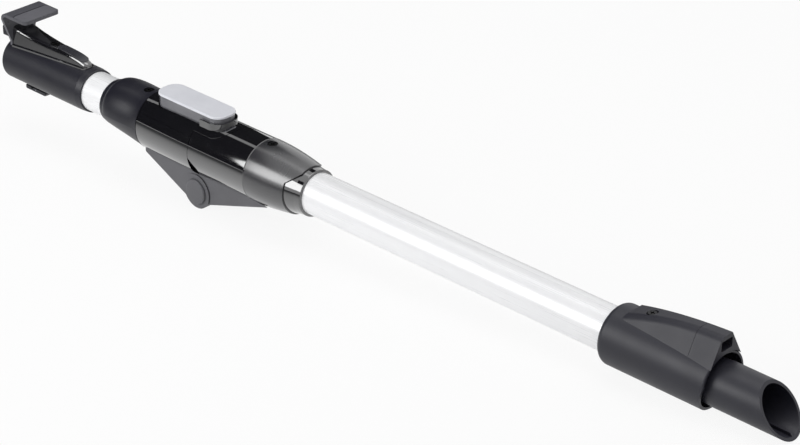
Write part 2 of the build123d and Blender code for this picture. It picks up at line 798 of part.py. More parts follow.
with BuildPart() as button_springs:
    coil_height = cap_floor - tray_top - spring_wire - 2 * glue_gap
    for spring_x in spring_xs:
        foot = (spring_x, 0, tray_top + spring_wire / 2 + glue_gap)
        with BuildLine():
            coil = Helix(pitch=coil_height / spring_turns, height=coil_height, radius=spring_r, center=foot)
        with BuildSketch(Plane(coil @ 0, x_dir=(1, 0, 0), z_dir=coil % 0)):
            Rectangle(spring_wire, spring_wire)
        sweep(path=coil, is_frenet=True)
write(button_springs, "button_springs")

# Corrugated air hose through the fold, and the cuff that seals each end to its tube
with BuildPart() as flex_hose:
    ring_pitch = (hose_end - hose_start - 2 * hose_end_length) / hose_rings
    ribs = [(hose_start, hose_r), (hose_start + hose_end_length, hose_r)]
    for index in range(hose_rings):
        rib_x = hose_start + hose_end_length + index * ring_pitch
        ribs.append((rib_x + ring_pitch * 0.3, hose_r - hose_groove))
        ribs.append((rib_x + ring_pitch * 0.6, hose_r - hose_groove))
        ribs.append((rib_x + ring_pitch * 0.9, hose_r))
        ribs.append((rib_x + ring_pitch, hose_r))
    turn(ribs + [(hose_end, hose_r), (hose_end, hose_bore_r), (hose_start, hose_bore_r)])
write(flex_hose, "flex_hose")


# Cuff with its flange against the tube's end, reaching back into the tube
def cuff(tube_end, inward):
    plug_end = tube_end + inward * cuff_plug_length
    flange_face = tube_end - inward * cuff_flange
    plug_r = tube_in_r - glue_gap
    turn([
        (flange_face, hose_bore_r), (flange_face, tube_r + cuff_wall), (tube_end, tube_r + cuff_wall),
        (tube_end, plug_r), (plug_end, plug_r), (plug_end, plug_r - cuff_wall), (tube_end, hose_bore_r),
    ])


with BuildPart() as upper_cuff:
    cuff(stub_end, -1)
write(upper_cuff, "upper_cuff")

with BuildPart() as lower_cuff:
    cuff(lower_tube_start, 1)
write(lower_cuff, "lower_cuff")

# Satin collar with its swooped edge, and the gloss ring that shows beyond the swoop
ring_shoulder = (ring_start, collar_wall_r)
ring_knee = (collar_end, collar_end_r - ring_inset)
with BuildPart() as collar:
    collar_in_r = tube_r + 2 * cuff_wall
    turn_curved(
        [(barrel_end + seam_bevel, barrel_r), collar_shoulder, collar_waist, (collar_end, collar_end_r)],
        [(collar_end, ring_knee[1] + glue_gap), (ring_start, ring_shoulder[1] + glue_gap), (ring_start, seat_r),
         (lower_tube_start, seat_r), (lower_tube_start, collar_in_r),
         (barrel_end - lip_length, collar_in_r), (barrel_end - lip_length, barrel_in_r - glue_gap),
         (barrel_end, barrel_in_r - glue_gap), (barrel_end, barrel_r - seam_bevel)])
    slab([(swoop_x, -barrel_r), (swoop_x, swoop_low), (collar_end, swoop_high), (far, swoop_high), (far, -barrel_r)],
         barrel_r, Mode.SUBTRACT)
    screw_seat(collar_screw_x, collar_screw_z)
write(collar, "collar")

with BuildPart() as collar_ring:
    turn([(ring_start, seat_r), ring_shoulder, ring_knee, (ring_end, ring_end_r), (ring_end, seat_r)])
    fillet(collar_ring.edges().filter_by(GeomType.CIRCLE).group_by(Axis.X)[-1].sort_by(SortBy.RADIUS)[-1], ring_round)
write(collar_ring, "collar_ring")

# Long aluminium tube
with BuildPart() as lower_tube:
    turn([(lower_tube_start, tube_in_r), (lower_tube_start, tube_r), (lower_tube_end, tube_r),
          (lower_tube_end, tube_in_r)])
write(lower_tube, "lower_tube")

# Charcoal connector: tube seat, stop, and the dropped bore of the spigot inside an open skirt
with BuildPart() as lower_sleeve:
    axial_rod(0, 0, connector_r, connector_start, connector_end)
    fillet(lower_sleeve.edges().group_by(Axis.X)[0], connector_fillet)
    fillet(lower_sleeve.edges().group_by(Axis.X)[-1], sleeve_mouth_fillet)
    axial_rod(0, 0, seat_r, connector_start, stop_start, Mode.SUBTRACT)
    axial_rod(0, 0, duct_r - spigot_drop, stop_start, spigot_start, Mode.SUBTRACT)
    axial_rod(0, -spigot_drop, spigot_root_r + glue_gap, spigot_start, connector_end, Mode.SUBTRACT)
    axial_rod(0, 0, skirt_r, skirt_start, connector_end, Mode.SUBTRACT)
    slab([(connector_heel, -connector_r), (far, -connector_r), (far, connector_r), (connector_lobe, connector_r)],
         connector_r, Mode.SUBTRACT)
    pilot_foot = connector_screw_z - screw_recess_depth - screw_length - part_gap
    upright_rod(connector_screw_x, screw_shank_r + screw_hole_gap, pilot_foot, connector_r, Mode.SUBTRACT)
write(lower_sleeve, "lower_sleeve")

# Hump of the lower connector, with drafted flanks and an edge rounded along its crown
with BuildPart() as lower_hump:
    with BuildSketch(Plane.XY.offset(saddle_base)):
        with BuildLine():
            spread = (saddle_end_half - saddle_start_half) / (saddle_end - saddle_start)
            beyond = saddle_end + saddle_end_half
            beyond_half = saddle_end_half + spread * saddle_end_half
            Polyline((saddle_start, -saddle_start_half), (beyond, -beyond_half), (beyond, beyond_half),
                     (saddle_start, saddle_start_half), close=True)
        make_face()
    extrude(amount=saddle_end_top - saddle_base + 1, taper=saddle_draft)
    with BuildSketch(Plane.XZ):
        with BuildLine():
            saddle_line = Spline((saddle_start, connector_r - 1), saddle_toe, saddle_back, saddle_crown,
                                 (saddle_end, saddle_end_top))
            Polyline(saddle_line @ 1, (saddle_end, 0), (saddle_start, 0), saddle_line @ 0)
        make_face()
    extrude(amount=saddle_end_half, both=True, mode=Mode.INTERSECT)
    crown_face = lower_hump.faces().sort_by(Axis.Z)[-1]
    fillet(crown_face.edges().filter_by(lambda edge: edge.length > skirt_depth * 2), saddle_edge)
    turn([(0, 0), (0, connector_r), (far, connector_r), (far, 0)], Mode.SUBTRACT)

with BuildPart() as lower_cover:
    add(lower_hump.part)
    split(bisect_by=Plane.YZ.offset(shroud_seam - part_gap / 2), keep=Keep.BOTTOM)
    screw_seat(connector_screw_x, connector_screw_z)
write(lower_cover, "lower_cover")

with BuildPart() as contact_shroud:
    add(lower_hump.part)
    split(bisect_by=Plane.YZ.offset(shroud_seam + part_gap / 2), keep=Keep.TOP)
    mouth_start = saddle_end - shroud_mouth_depth
    mouth_mid = (shroud_mouth_floor + shroud_mouth_top) / 2
    with BuildSketch(Plane.YZ.offset(mouth_start)):
        with Locations((0, mouth_mid)):
            RectangleRounded(2 * shroud_mouth_half, shroud_mouth_top - shroud_mouth_floor, shroud_mouth_corner)
    extrude(amount=shroud_mouth_depth, mode=Mode.SUBTRACT)
write(contact_shroud, "contact_shroud")

with BuildPart() as contact_block:
    with BuildSketch(Plane.YZ.offset(mouth_start)):
        with Locations((0, mouth_mid)):
            RectangleRounded(2 * (shroud_mouth_half - part_gap), shroud_mouth_top - shroud_mouth_floor - 2 * part_gap,
                             shroud_mouth_corner - part_gap)
    extrude(amount=contact_block_length)
write(contact_block, "contact_block")

with BuildPart() as contact_pins:
    contact_root = mouth_start + contact_block_length
    for index in (-1, 0, 1):
        axial_rod(index * contact_pitch, mouth_mid, contact_r, contact_root, contact_root + contact_reach)
write(contact_pins, "contact_pins")

# Slant-cut air spigot with a rib along its floor
with BuildPart() as spigot:
    bore_r = spigot_r - spigot_wall
    axial_rod(0, -spigot_drop, spigot_root_r, spigot_start + glue_gap, connector_end)
    axial_rod(0, -spigot_drop, spigot_r, connector_end, spigot_tip)
    axial_rod(0, -spigot_drop, bore_r, spigot_start + glue_gap, spigot_tip, Mode.SUBTRACT)
    rib_floor = -spigot_drop - bore_r - spigot_wall / 2
    block(spigot_tip - spigot_rib_length, spigot_tip, spigot_rib_half, rib_floor,
          rib_floor + spigot_wall / 2 + spigot_rib_height)
    slab([(slant_rise, spigot_r), (spigot_tip, -spigot_r - spigot_drop), (far, -spigot_r - spigot_drop),
          (far, spigot_r)], spigot_r, Mode.SUBTRACT)
write(spigot, "spigot")

with BuildPart() as upper_screws:
    screw(cover_screw_x, cover_screw_z)
    screw(nose_screw_x, nose_screw_z)
write(upper_screws, "upper_screws")

with BuildPart() as lower_screws:
    screw(collar_screw_x, collar_screw_z)
    screw(connector_screw_x, connector_screw_z)
write(lower_screws, "lower_screws")
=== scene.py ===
import bpy
from math import atan2, pi, radians
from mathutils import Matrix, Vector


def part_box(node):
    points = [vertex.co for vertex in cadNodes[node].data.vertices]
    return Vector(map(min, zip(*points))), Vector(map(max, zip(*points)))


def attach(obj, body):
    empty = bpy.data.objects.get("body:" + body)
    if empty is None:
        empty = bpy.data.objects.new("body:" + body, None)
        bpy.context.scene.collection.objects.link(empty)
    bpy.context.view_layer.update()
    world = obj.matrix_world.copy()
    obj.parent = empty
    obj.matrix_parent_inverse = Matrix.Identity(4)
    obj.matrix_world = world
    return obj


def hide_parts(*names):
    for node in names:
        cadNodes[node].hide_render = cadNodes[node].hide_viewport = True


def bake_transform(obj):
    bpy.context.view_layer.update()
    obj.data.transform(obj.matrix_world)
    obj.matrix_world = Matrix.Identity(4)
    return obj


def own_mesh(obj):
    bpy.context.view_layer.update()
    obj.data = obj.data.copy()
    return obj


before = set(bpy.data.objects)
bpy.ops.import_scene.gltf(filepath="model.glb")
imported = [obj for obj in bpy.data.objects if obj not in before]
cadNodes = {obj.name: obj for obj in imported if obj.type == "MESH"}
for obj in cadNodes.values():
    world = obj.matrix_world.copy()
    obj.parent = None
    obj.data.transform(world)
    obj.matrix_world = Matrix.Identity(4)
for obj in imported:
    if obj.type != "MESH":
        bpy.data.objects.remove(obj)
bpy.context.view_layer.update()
scene = bpy.context.scene
scene.view_settings.view_transform = "Standard"
bpy.ops.object.select_all(action="DESELECT")
print("frame loaded:", len(cadNodes), "pieces")


def addNode(tree, kind, place, **values):
    node = tree.nodes.new(kind)
    node.location = place
    for key, value in values.items():
        setattr(node, key, value)
    return node


def startGroup(name, inputs, outputs):
    tree = bpy.data.node_groups.new(name, "ShaderNodeTree")
    for label, kind, default in inputs:
        socket = tree.interface.new_socket(label, in_out="INPUT", socket_type=kind)
        if default is not None:
            socket.default_value = default
    for label, kind in outputs:
        tree.interface.new_socket(label, in_out="OUTPUT", socket_type=kind)
    groupIn = addNode(tree, "NodeGroupInput", (-900, 0))
    groupOut = addNode(tree, "NodeGroupOutput", (700, 0))
    return tree, groupIn, groupOut


def remap(tree, source, low, high, outLow, outHigh, place):
    node = addNode(tree, "ShaderNodeMapRange", place)
    node.inputs["From Min"].default_value = low
    node.inputs["From Max"].default_value = high
    tree.links.new(source, node.inputs["Value"])
    for label, value in (("To Min", outLow), ("To Max", outHigh)):
        if hasattr(value, "is_output"):
            tree.links.new(value, node.inputs[label])
        else:
            node.inputs[label].default_value = value
    return node.outputs["Result"]


# fine spark-eroded grain of a moulded part: height, and a roughness that wanders with it
def makeMouldGrain():
    tree, groupIn, groupOut = startGroup(
        "mouldGrain",
        [("Vector", "NodeSocketVector", None), ("Grain", "NodeSocketFloat", 2600.0),
         ("Rough Low", "NodeSocketFloat", 0.4), ("Rough High", "NodeSocketFloat", 0.5)],
        [("Height", "NodeSocketFloat"), ("Roughness", "NodeSocketFloat")])
    fine = addNode(tree, "ShaderNodeTexNoise", (-600, 150))
    fine.inputs["Detail"].default_value = 3.0
    tree.links.new(groupIn.outputs["Vector"], fine.inputs["Vector"])
    tree.links.new(groupIn.outputs["Grain"], fine.inputs["Scale"])
    broad = addNode(tree, "ShaderNodeTexNoise", (-600, -200))
    broad.inputs["Scale"].default_value = 38.0
    broad.inputs["Detail"].default_value = 4.0
    tree.links.new(groupIn.outputs["Vector"], broad.inputs["Vector"])
    rough = remap(tree, broad.outputs["Fac"], 0.3, 0.7, groupIn.outputs["Rough Low"],
                  groupIn.outputs["Rough High"], (-200, -200))
    tree.links.new(fine.outputs["Fac"], groupOut.inputs["Height"])
    tree.links.new(rough, groupOut.inputs["Roughness"])
    return tree


# two tones that drift into each other, for pigment that isn't perfectly even
def makePigmentDrift():
    tree, groupIn, groupOut = startGroup(
        "pigmentDrift",
        [("Vector", "NodeSocketVector", None), ("Size", "NodeSocketFloat", 30.0),
         ("Tone A", "NodeSocketColor", None), ("Tone B", "NodeSocketColor", None)],
        [("Color", "NodeSocketColor")])
    cloud = addNode(tree, "ShaderNodeTexNoise", (-600, 0))
    cloud.inputs["Detail"].default_value = 5.0
    cloud.inputs["Roughness"].default_value = 0.6
    tree.links.new(groupIn.outputs["Vector"], cloud.inputs["Vector"])
    tree.links.new(groupIn.outputs["Size"], cloud.inputs["Scale"])
    blend = addNode(tree, "ShaderNodeMix", (100, 0), data_type="RGBA")
    tree.links.new(remap(tree, cloud.outputs["Fac"], 0.35, 0.65, 0.0, 1.0, (-250, 0)), blend.inputs["Factor"])
    tree.links.new(groupIn.outputs["Tone A"], blend.inputs[6])
    tree.links.new(groupIn.outputs["Tone B"], blend.inputs[7])
    tree.links.new(blend.outputs[2], groupOut.inputs["Color"])
    return tree


# lines drawn along the wand by the die or the brush
def makeDrawnLines():
    tree, groupIn, groupOut = startGroup(
        "drawnLines",
        [("Vector", "NodeSocketVector", None), ("Lines", "NodeSocketFloat", 900.0),
         ("Rough Low", "NodeSocketFloat", 0.2), ("Rough High", "NodeSocketFloat", 0.3)],
        [("Height", "NodeSocketFloat"), ("Roughness", "NodeSocketFloat")])
    stretch = addNode(tree, "ShaderNodeVectorMath", (-650, 0), operation="MULTIPLY")
    stretch.inputs[1].default_value = (0.012, 1.0, 1.0)
    tree.links.new(groupIn.outputs["Vector"], stretch.inputs[0])
    lines = addNode(tree, "ShaderNodeTexNoise", (-400, 0))
    lines.inputs["Detail"].default_value = 3.0
    tree.links.new(stretch.outputs["Vector"], lines.inputs["Vector"])
    tree.links.new(groupIn.outputs["Lines"], lines.inputs["Scale"])
    rough = remap(tree, lines.outputs["Fac"], 0.3, 0.7, groupIn.outputs["Rough Low"],
                  groupIn.outputs["Rough High"], (0, -150))
    tree.links.new(lines.outputs["Fac"], groupOut.inputs["Height"])
    tree.links.new(rough, groupOut.inputs["Roughness"])
    return tree


mouldGrain = makeMouldGrain()
pigmentDrift = makePigmentDrift()
drawnLines = makeDrawnLines()
print("shader groups ready")


def useGroup(tree, group, place, vector, **values):
    node = addNode(tree, "ShaderNodeGroup", place, node_tree=group)
    tree.links.new(vector, node.inputs["Vector"])
    for label, value in values.items():
        node.inputs[label.replace("_", " ")].default_value = value
    return node


def startMaterial(name):
    material = bpy.data.materials.new(name)
    material.use_nodes = True
    tree = material.node_tree
    shader = tree.nodes["Principled BSDF"]
    coords = addNode(tree, "ShaderNodeTexCoord", (-1100, 0))
    return material, tree, shader, coords.outputs["Object"]


def addBump(tree, shader, height, distance, strength):
    bump = addNode(tree, "ShaderNodeBump", (-250, -350))
    bump.inputs["Distance"].default_value = distance
    bump.inputs["Strength"].default_value = strength
    tree.links.new(height, bump.inputs["Height"])
    tree.links.new(bump.outputs["Normal"], shader.inputs["Normal"])


# one moulded plastic: two near tones, wandering roughness and grain
def plasticFinish(name, look):
    material, tree, shader, vector = startMaterial(name)
    tone = useGroup(tree, pigmentDrift, (-700, 250), vector, Size=look.get("driftSize", 30.0),
                    Tone_A=(*look["toneA"], 1), Tone_B=(*look["toneB"], 1))
    grain = useGroup(tree, mouldGrain, (-700, -150), vector, Grain=look["grain"],
                     Rough_Low=look["rough"][0], Rough_High=look["rough"][1])
    tree.links.new(tone.outputs["Color"], shader.inputs["Base Color"])
    tree.links.new(grain.outputs["Roughness"], shader.inputs["Roughness"])
    shader.inputs["Specular IOR Level"].default_value = look.get("specular", 0.5)
    shader.inputs["Coat Weight"].default_value = look.get("coat", 0.0)
    shader.inputs["Coat Roughness"].default_value = look.get("coatRough", 0.05)
    shader.inputs["Coat IOR"].default_value = look.get("coatIndex", 1.5)
    addBump(tree, shader, grain.outputs["Height"], look["bump"], look.get("bumpStrength", 0.4))
    return material


# one metal: drawn lines in roughness and height over an even colour drift
def metalFinish(name, look):
    material, tree, shader, vector = startMaterial(name)
    tone = useGroup(tree, pigmentDrift, (-700, 250), vector, Size=look.get("driftSize", 25.0),
                    Tone_A=(*look["toneA"], 1), Tone_B=(*look["toneB"], 1))
    lines = useGroup(tree, drawnLines, (-700, -150), vector, Lines=look["lines"],
                     Rough_Low=look["rough"][0], Rough_High=look["rough"][1])
    tree.links.new(tone.outputs["Color"], shader.inputs["Base Color"])
    tree.links.new(lines.outputs["Roughness"], shader.inputs["Roughness"])
    shader.inputs["Metallic"].default_value = look.get("metal", 1.0)
    addBump(tree, shader, lines.outputs["Height"], look["bump"], look.get("bumpStrength", 0.3))
    return material


def paint(material, *names):
    for name in names:
        mesh = cadNodes[name].data
        mesh.materials.clear()
        mesh.materials.append(material)


charcoalLook = {"toneA": (0.014, 0.014, 0.022), "toneB": (0.018, 0.018, 0.027), "grain": 2400.0,
                "rough": (0.42, 0.50), "bump": 0.00004, "specular": 0.5}
paint(plasticFinish("charcoalMoulding", charcoalLook), "lower_sleeve", "lower_cover", "contact_shroud",
      "spigot")

glossLook = {"toneA": (0.005, 0.005, 0.007), "toneB": (0.007, 0.007, 0.009), "grain": 900.0,
             "rough": (0.03, 0.06), "bump": 0.00001, "bumpStrength": 0.06, "specular": 1.0, "coat": 1.0,
             "coatRough": 0.03, "coatIndex": 1.8}
paint(plasticFinish("glossBlack", glossLook), "upper_cover", "barrel_top", "barrel_bottom", "lower_barrel",
      "collar_ring")

matteLook = {"toneA": (0.008, 0.008, 0.014), "toneB": (0.011, 0.011, 0.018), "grain": 2200.0,
             "rough": (0.34, 0.42), "bump": 0.00004}
paint(plasticFinish("matteBlack", matteLook), "upper_sleeve", "release_tab", "nose_top", "nose_bottom",
      "plug_housing")

inlayLook = {"toneA": (0.030, 0.030, 0.037), "toneB": (0.038, 0.038, 0.046), "grain": 2000.0,
             "rough": (0.24, 0.31), "bump": 0.00002, "bumpStrength": 0.25}
paint(plasticFinish("satinInlay", inlayLook), "cover_inlay")

collarLook = {"toneA": (0.015, 0.015, 0.019), "toneB": (0.019, 0.019, 0.023), "grain": 2000.0,
              "rough": (0.22, 0.28), "bump": 0.00002, "bumpStrength": 0.25, "specular": 1.0,
              "coat": 0.7, "coatRough": 0.22}
paint(plasticFinish("satinCollar", collarLook), "collar")

kneeLook = {"toneA": (0.098, 0.098, 0.107), "toneB": (0.114, 0.114, 0.124), "grain": 2200.0,
            "rough": (0.45, 0.55), "bump": 0.00004}
paint(plasticFinish("kneeGrey", kneeLook), "upper_knee", "lower_knee", "hinge_cap_near", "hinge_cap_far")

hookLook = {"toneA": (0.085, 0.085, 0.098), "toneB": (0.098, 0.098, 0.112), "grain": 2000.0,
            "rough": (0.26, 0.34), "bump": 0.00003}
paint(plasticFinish("hookGrey", hookLook), "rest_hook")

padLook = {"toneA": (0.110, 0.110, 0.124), "toneB": (0.128, 0.128, 0.144), "grain": 1700.0,
           "rough": (0.48, 0.58), "bump": 0.00006}
padGrey = plasticFinish("padGrey", padLook)
paint(padGrey, "hook_pad")

buttonLook = {"toneA": (0.71, 0.72, 0.77), "toneB": (0.76, 0.77, 0.82), "grain": 1900.0,
              "rough": (0.28, 0.36), "bump": 0.00003, "driftSize": 45.0}
paint(plasticFinish("buttonPale", buttonLook), "button_cap")

smokeLook = {"toneA": (0.130, 0.130, 0.145), "toneB": (0.170, 0.170, 0.185), "grain": 1200.0,
             "rough": (0.10, 0.18), "bump": 0.00002, "bumpStrength": 0.2, "coat": 0.3}
paint(plasticFinish("frameSmoke", smokeLook), "button_frame")

innerLook = {"toneA": (0.010, 0.010, 0.010), "toneB": (0.014, 0.014, 0.014), "grain": 1500.0,
             "rough": (0.5, 0.65), "bump": 0.00005}
paint(plasticFinish("innerBlack", innerLook), "latch_hook", "button_tray", "latch_keeper", "hinge_bush")

softLook = {"toneA": (0.012, 0.012, 0.013), "toneB": (0.017, 0.017, 0.018), "grain": 1300.0,
            "rough": (0.55, 0.72), "bump": 0.00006}
softRubber = plasticFinish("softRubber", softLook)
paint(softRubber, "socket_seal", "flex_hose", "upper_cuff", "lower_cuff")

blockLook = {"toneA": (0.50, 0.51, 0.53), "toneB": (0.56, 0.57, 0.59), "grain": 1800.0,
             "rough": (0.4, 0.5), "bump": 0.00004}
paint(plasticFinish("contactWhite", blockLook), "contact_block")

# pale drawn tube: nearly white, with only a small share of metal
tubeLook = {"toneA": (0.93, 0.935, 0.95), "toneB": (0.95, 0.955, 0.965), "lines": 1100.0,
            "rough": (0.26, 0.34), "bump": 0.000003, "metal": 0.14}
paint(metalFinish("tubeSilver", tubeLook), "upper_tube", "lower_tube")

steelLook = {"toneA": (0.40, 0.40, 0.42), "toneB": (0.48, 0.48, 0.50), "lines": 1500.0, "rough": (0.2, 0.32),
             "bump": 0.00002}
brightSteel = metalFinish("brightSteel", steelLook)
paint(brightSteel, "release_pin", "release_spring", "hinge_pin", "button_springs")

blackSteelLook = {"toneA": (0.020, 0.020, 0.022), "toneB": (0.035, 0.035, 0.038), "lines": 1500.0,
                  "rough": (0.25, 0.38), "bump": 0.00002}
paint(metalFinish("blackenedSteel", blackSteelLook), "upper_screws", "lower_screws")

contactLook = {"toneA": (0.72, 0.56, 0.26), "toneB": (0.80, 0.63, 0.32), "lines": 1600.0,
               "rough": (0.15, 0.25), "bump": 0.00002}
paint(metalFinish("platedContact", contactLook), "plug_pins", "contact_pins")
print("finishes on")


def editMode(piece):
    bpy.ops.object.select_all(action="DESELECT")
    piece.select_set(True)
    bpy.context.view_layer.objects.active = piece
    bpy.ops.object.mode_set(mode="EDIT")
    bpy.ops.mesh.select_all(action="DESELECT")


def objectMode():
    bpy.ops.object.mode_set(mode="OBJECT")


# picks the faces or edges that a test on their middle and direction passes
def pickFaces(piece, test):
    bpy.ops.mesh.select_mode(type="FACE")
    objectMode()
    for face in piece.data.polygons:
        face.select = test(face.center, face.normal)
    bpy.ops.object.mode_set(mode="EDIT")


def pickEdges(piece, test):
    bpy.ops.mesh.select_mode(type="EDGE")
    objectMode()
    points = piece.data.vertices
    for edge in piece.data.edges:
        start, end = (points[index].co for index in edge.vertices)
        edge.select = test((start + end) / 2, (end - start).normalized())
    bpy.ops.object.mode_set(mode="EDIT")


def applyPlace(piece):
    bpy.ops.object.select_all(action="DESELECT")
    piece.select_set(True)
    bpy.context.view_layer.objects.active = piece
    bpy.ops.object.transform_apply(location=True, rotation=True, scale=True)


def applyModifier(piece, kind, **values):
    modifier = piece.modifiers.new(kind.title(), kind)
    for key, value in values.items():
        setattr(modifier, key, value)
    bpy.context.view_layer.objects.active = piece
    bpy.ops.object.modifier_apply(modifier=modifier.name)


smoothAngle = radians(38)


def finishPiece(piece, name, material):
    piece.name = name
    piece.data.name = name
    piece.data.materials.clear()
    piece.data.materials.append(material)
    bpy.ops.object.select_all(action="DESELECT")
    piece.select_set(True)
    bpy.context.view_layer.objects.active = piece
    bpy.ops.object.shade_smooth_by_angle(angle=smoothAngle)


# corrugated hose: one ring drawn along the wand, in and out at each rib, then given its wall
hoseLook = {"sides": 56, "ribs": 22, "endLength": 0.008, "groove": 0.0013, "wall": 0.0009, "fit": 0.0001,
            "flank": 0.12, "turn": 0.14, "land": 0.24, "ease": 0.25, "bendFrom": 0.206, "bendTo": 0.255}


def makeHose(look):
    low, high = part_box("flex_hose")
    outer = (high.z - low.z) / 2 - look["fit"]
    bpy.ops.mesh.primitive_circle_add(vertices=look["sides"], radius=outer, location=(low.x, 0, 0),
                                      rotation=(0, radians(90), 0))
    hose = bpy.context.object
    applyPlace(hose)
    pitch = (high.x - low.x - 2 * look["endLength"]) / look["ribs"]
    trough = outer - look["groove"]
    shoulder = outer - look["groove"] * look["ease"]
    flank, turn, land = (pitch * look[key] for key in ("flank", "turn", "land"))
    # each rib is a flank, a rounded trough, a flank and a rounded crest
    rib = [(flank, shoulder), (turn, trough), (land, trough), (turn, shoulder), (flank, outer), (land, outer)]
    stations = [(look["endLength"], outer)] + rib * look["ribs"] + [(look["endLength"], outer)]
    editMode(hose)
    bpy.ops.mesh.select_all(action="SELECT")
    reached, radius = low.x, outer
    for step, nextRadius in stations:
        bpy.ops.mesh.extrude_region_move(TRANSFORM_OT_translate={"value": (step, 0, 0)})
        reached += step
        share = nextRadius / radius
        bpy.ops.transform.resize(value=(1, share, share), center_override=(reached, 0, 0))
        radius = nextRadius
    bpy.ops.mesh.select_all(action="SELECT")
    bpy.ops.mesh.normals_make_consistent(inside=False)
    objectMode()
    applyModifier(hose, "SOLIDIFY", thickness=look["wall"], offset=-1)
    finishPiece(hose, "bendHose", softRubber)
    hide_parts("flex_hose")
    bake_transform(hose)


# round wire coils under the button
coilLook = {"wire": 0.0004, "radius": 0.0030, "turns": 4.5, "sides": 10, "steps": 28, "seats": (0.188, 0.224),
            "seatGap": 0.00005, "travel": 0.003, "merge": 0.000001}


def makeCoils(look):
    low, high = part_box("button_springs")
    foot = low.z + look["seatGap"] + look["wire"]
    rise = high.z - low.z - 2 * look["wire"] - 2 * look["seatGap"]
    steps = round(look["steps"] * look["turns"])
    coils = []
    for seat in look["seats"]:
        bpy.ops.mesh.primitive_circle_add(vertices=look["sides"], radius=look["wire"], fill_type="NGON",
                                          location=(look["radius"], 0, 0), rotation=(radians(90), 0, 0))
        coil = bpy.context.object
        applyPlace(coil)
        applyModifier(coil, "SCREW", angle=look["turns"] * 2 * pi, screw_offset=rise, steps=steps,
                      render_steps=steps)
        coil.location = (seat, 0, foot)
        applyPlace(coil)
        coils.append(coil)
    bpy.ops.object.select_all(action="DESELECT")
    for coil in coils:
        coil.select_set(True)
    bpy.context.view_layer.objects.active = coils[0]
    bpy.ops.object.join()
    springs = bpy.context.object
    editMode(springs)
    bpy.ops.mesh.select_all(action="SELECT")
    bpy.ops.mesh.remove_doubles(threshold=look["merge"])
    bpy.ops.mesh.normals_make_consistent(inside=False)
    objectMode()
    finishPiece(springs, "buttonCoils", brightSteel)
    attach(springs, "upper_section")
    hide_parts("button_springs")
    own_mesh(springs)


# leaf under the release tab
leafLook = {"keep": 0.3, "merge": 0.000002}


def makeLeaf(look):
    leaf = cadNodes["release_spring"].copy()
    leaf.data = cadNodes["release_spring"].data.copy()
    scene.collection.objects.link(leaf)
    for key in list(leaf.keys()):
        del leaf[key]
    editMode(leaf)
    bpy.ops.mesh.select_all(action="SELECT")
    bpy.ops.mesh.remove_doubles(threshold=look["merge"])
    objectMode()
    finishPiece(leaf, "tabLeaf", brightSteel)
    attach(leaf, "upper_section")
    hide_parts("release_spring")
    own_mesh(leaf)


# soft pad in the hook's plate: rounded plan, a rolled top edge and a groove left open behind it
padShape = {"groove": 0.0009, "corner": 0.0030, "cornerSteps": 8, "roll": 0.0004, "rollSteps": 3}


def makePad(look):
    low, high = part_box("hook_pad")
    low.x += look["groove"]
    bpy.ops.mesh.primitive_cube_add(size=1, location=(low + high) / 2)
    pad = bpy.context.object
    pad.scale = high - low
    applyPlace(pad)
    editMode(pad)
    pickEdges(pad, lambda middle, along: abs(along.z) > 0.9)
    bpy.ops.mesh.bevel(offset=look["corner"], segments=look["cornerSteps"], affect="EDGES")
    pickFaces(pad, lambda middle, normal: normal.z > 0.9)
    bpy.ops.mesh.region_to_loop()
    bpy.ops.mesh.bevel(offset=look["roll"], segments=look["rollSteps"], affect="EDGES")
    objectMode()
    finishPiece(pad, "softPad", padGrey)
    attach(pad, "upper_section")
    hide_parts("hook_pad")


makeHose(hoseLook)
makeCoils(coilLook)
makeLeaf(leafLook)
makePad(padShape)
print("soft pieces and springs ready")


stageLook = {"kneeFoot": (0.2305, -0.0458), "sleeveFoot": (0.701, -0.0218), "size": 14.0, "tone": 0.86,
             "cameraWhite": 0.9, "pool": (-0.17, 0, 0), "poolScale": (0.45, 1, 0), "poolFade": (0.03, 0.5),
             "farTone": 0.06}


# rays that look straight at the studio or see it in a gloss or a glass
def seenDirectly(tree, paths):
    gloss = addNode(tree, "ShaderNodeMath", (-500, 350), operation="MAXIMUM")
    tree.links.new(paths.outputs["Is Camera Ray"], gloss.inputs[0])
    tree.links.new(paths.outputs["Is Glossy Ray"], gloss.inputs[1])
    glass = addNode(tree, "ShaderNodeMath", (-320, 350), operation="MAXIMUM")
    tree.links.new(gloss.outputs[0], glass.inputs[0])
    tree.links.new(paths.outputs["Is Transmission Ray"], glass.inputs[1])
    return glass.outputs[0]


